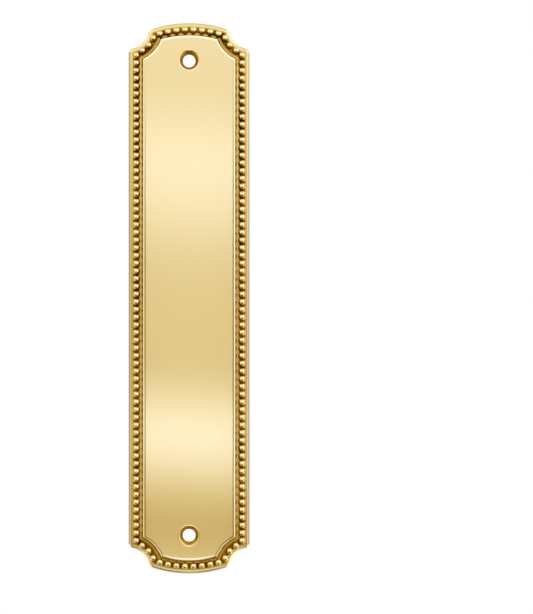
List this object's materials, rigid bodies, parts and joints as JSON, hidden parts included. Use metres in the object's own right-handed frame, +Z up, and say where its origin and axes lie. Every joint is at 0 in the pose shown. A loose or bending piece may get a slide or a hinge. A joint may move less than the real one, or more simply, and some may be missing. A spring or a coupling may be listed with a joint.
{
  "type": "door finger plate",
  "caption": "Long cast brass finger plate for a door, with scooped corners, bowed ends, a pearl-beaded border, a raised plain panel and countersunk screw holes.",
  "frame": {"origin": "middle of the back, on the plane of the flat rim that lies against the door", "axes": "+Z up the door along the plate's length, +Y into the door, so the beaded face looks to -Y, +X to the right as seen from the front"},
  "size_m": [0.066, 0.0046, 0.3],
  "materials": {
    "polished_brass": "polished"
  },
  "bodies": {
    "root": {"finger_plate": "polished_brass"}
  },
  "joints": []
}
